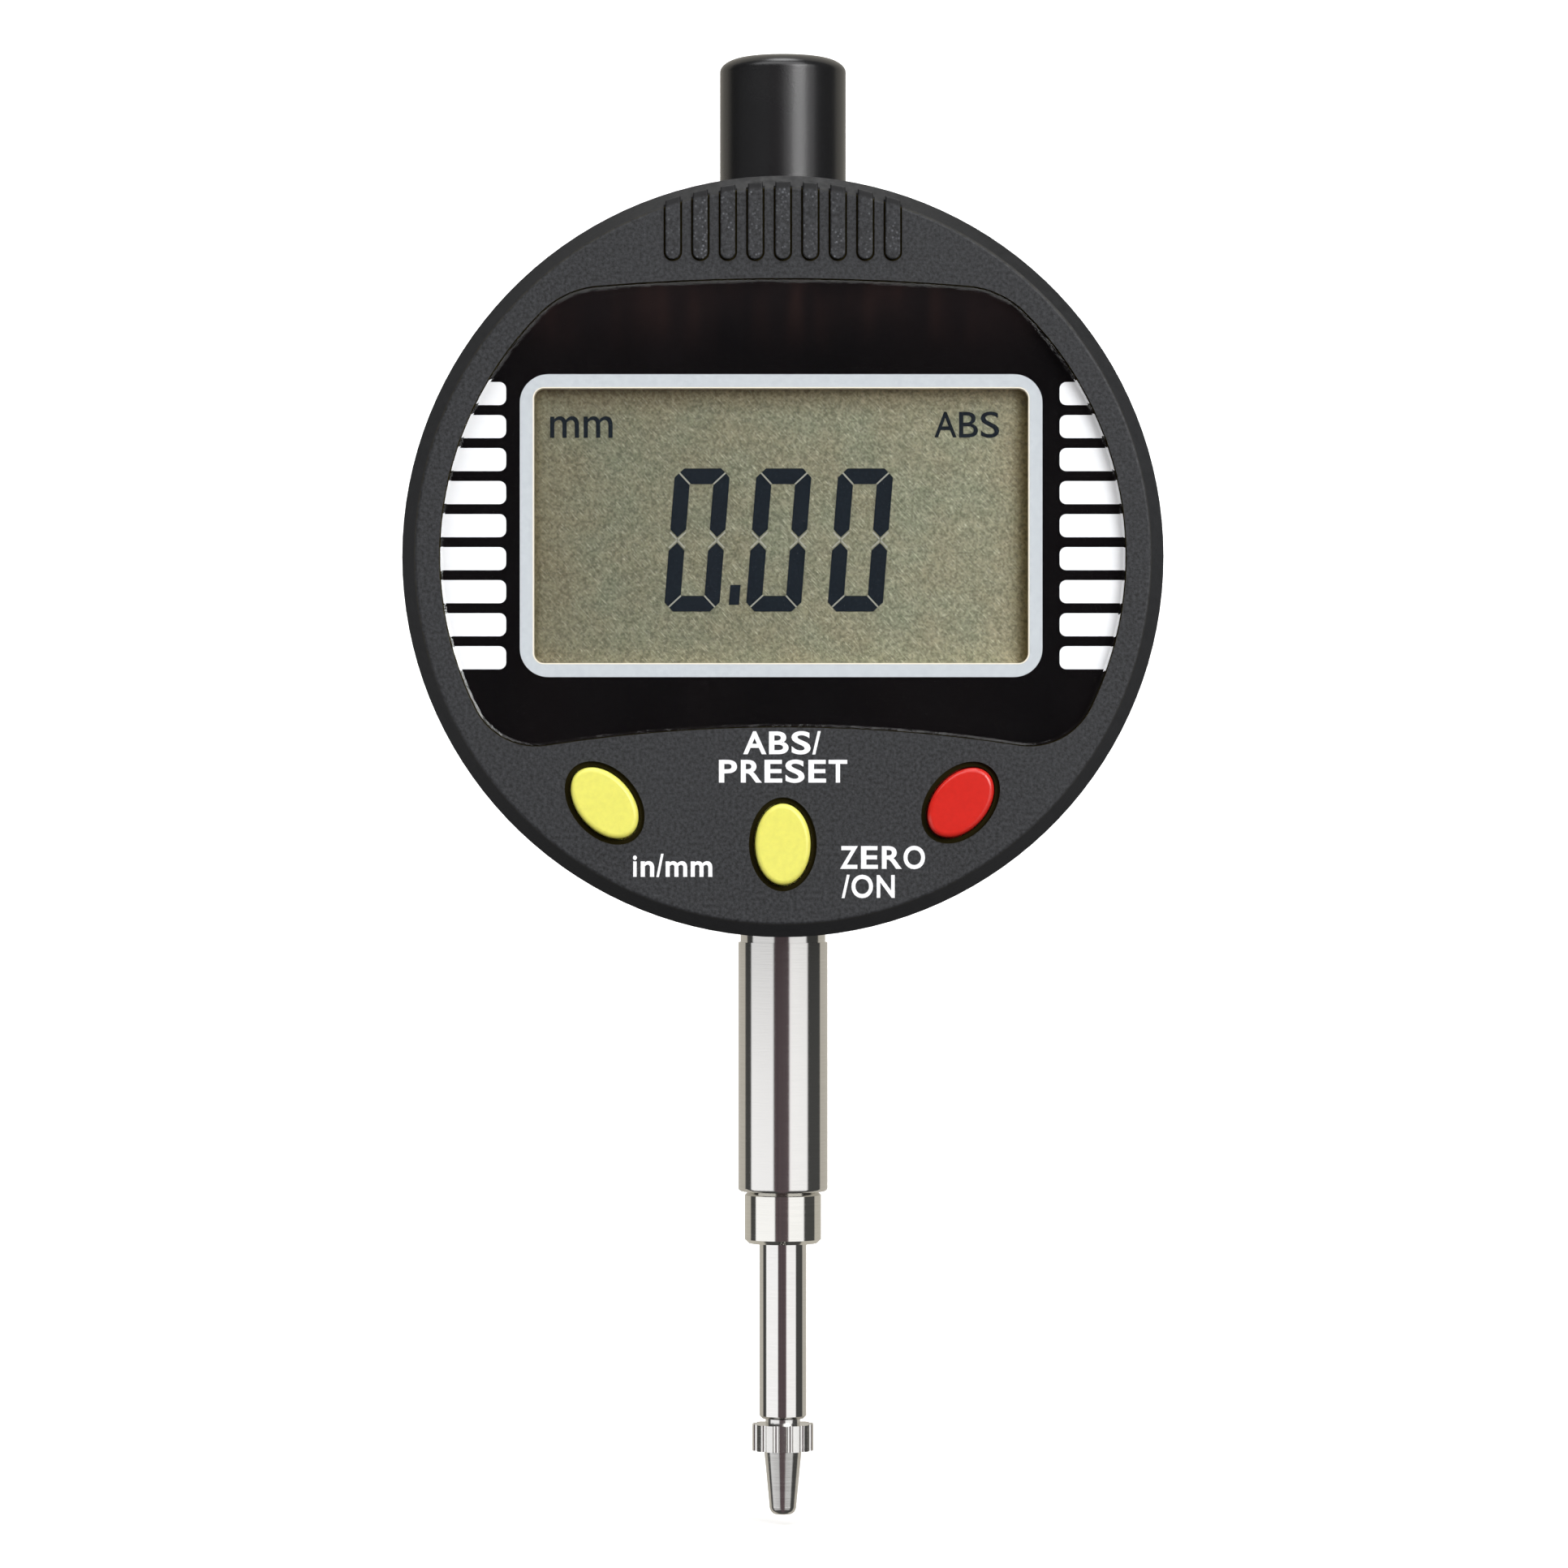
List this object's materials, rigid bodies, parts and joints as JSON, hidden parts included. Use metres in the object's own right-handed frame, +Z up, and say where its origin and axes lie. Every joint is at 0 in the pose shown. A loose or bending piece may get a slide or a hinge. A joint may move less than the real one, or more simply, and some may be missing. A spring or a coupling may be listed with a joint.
{
  "type": "digital indicator",
  "caption": "Round digital plunger indicator with display, three buttons, clamping stem, sliding spindle, and a lug on its back.",
  "frame": {"origin": "on the spindle axis, at the middle of the clamping length of the stem", "axes": "+Z up along the spindle towards the cap, -Y out of the display towards the reader, +X to the reader's right"},
  "size_m": [0.0668, 0.0387, 0.1304],
  "materials": {
    "case_plastic": "fine matt dark grey",
    "case_metal": "satin dark grey",
    "clear_panel": "clear glossy sheet",
    "print_black": "black print",
    "print_white": "white print",
    "frame_white": "white moulded frame",
    "lcd_glass": "greenish grey display",
    "lcd_dark": "dark segments",
    "board_green": "circuit board",
    "chip_black": "moulded chip",
    "plated_tin": "plated can",
    "seal_rubber": "rubber",
    "yellow_plastic": "yellow button",
    "red_plastic": "red button",
    "white_plastic": "switch and holder plastic",
    "ground_steel": "ground and polished steel",
    "bush_metal": "plated bush",
    "spring_steel": "spring wire",
    "cap_black": "black satin cap",
    "carrier_metal": "milled carrier"
  },
  "bodies": {
    "housing": {"front_housing": "case_plastic", "rear_housing": "case_metal", "back_cover": "case_metal", "case_screws": "ground_steel", "window_panel": "clear_panel", "panel_backing": "print_black", "side_stripes": "print_white", "display_frame": "frame_white", "display_glass": "lcd_glass", "display_segments": "lcd_dark", "zebra_strip_upper": "seal_rubber", "zebra_strip_lower": "seal_rubber", "main_board": "board_green", "board_screws": "ground_steel", "driver_chip": "chip_black", "crystal": "plated_tin", "capacitor": "chip_black", "encoder_stator": "board_green", "unit_key_switch": "white_plastic", "preset_key_switch": "white_plastic", "zero_key_switch": "white_plastic", "battery_holder": "white_plastic", "battery_cell": "plated_tin", "battery_contact_negative": "spring_steel", "battery_contact_positive": "spring_steel", "stem": "ground_steel", "lower_bush": "bush_metal", "upper_bush": "bush_metal", "stop_washer": "seal_rubber", "guide_rail": "ground_steel", "rail_screws": "ground_steel", "spindle_cap": "cap_black", "return_spring": "spring_steel"},
    "spindle": {"spindle": "ground_steel", "contact_point": "ground_steel", "carrier": "carrier_metal", "carrier_screw": "ground_steel", "guide_pin": "ground_steel", "scale_strip": "board_green"},
    "unit_button": {"unit_button": "yellow_plastic", "unit_switch_plunger": "chip_black"},
    "preset_button": {"preset_button": "yellow_plastic", "preset_switch_plunger": "chip_black"},
    "zero_button": {"zero_button": "red_plastic", "zero_switch_plunger": "chip_black"},
    "battery_cap": {"battery_cap": "cap_black", "battery_cap_seal": "seal_rubber"}
  },
  "joints": [
    {"name": "spindle_slide", "type": "slide", "parent": "housing", "child": "spindle", "axis": [0, 0, 1], "range_m": [0, 0.013], "stiffness_N_per_m": 50, "springref_m": -0.015, "deforming": ["return_spring"]},
    {"name": "unit_press", "type": "slide", "parent": "housing", "child": "unit_button", "axis": [0, 1, 0], "range_m": [0, 0.0005], "stiffness_N_per_m": 800},
    {"name": "preset_press", "type": "slide", "parent": "housing", "child": "preset_button", "axis": [0, 1, 0], "range_m": [0, 0.0005], "stiffness_N_per_m": 800},
    {"name": "zero_press", "type": "slide", "parent": "housing", "child": "zero_button", "axis": [0, 1, 0], "range_m": [0, 0.0005], "stiffness_N_per_m": 800},
    {"name": "battery_cap_turn", "type": "hinge", "parent": "housing", "child": "battery_cap", "pos_m": [0.015, 0.0118, 0.02895], "axis": [0, 1, 0], "range_deg": [0, 60]}
  ]
}
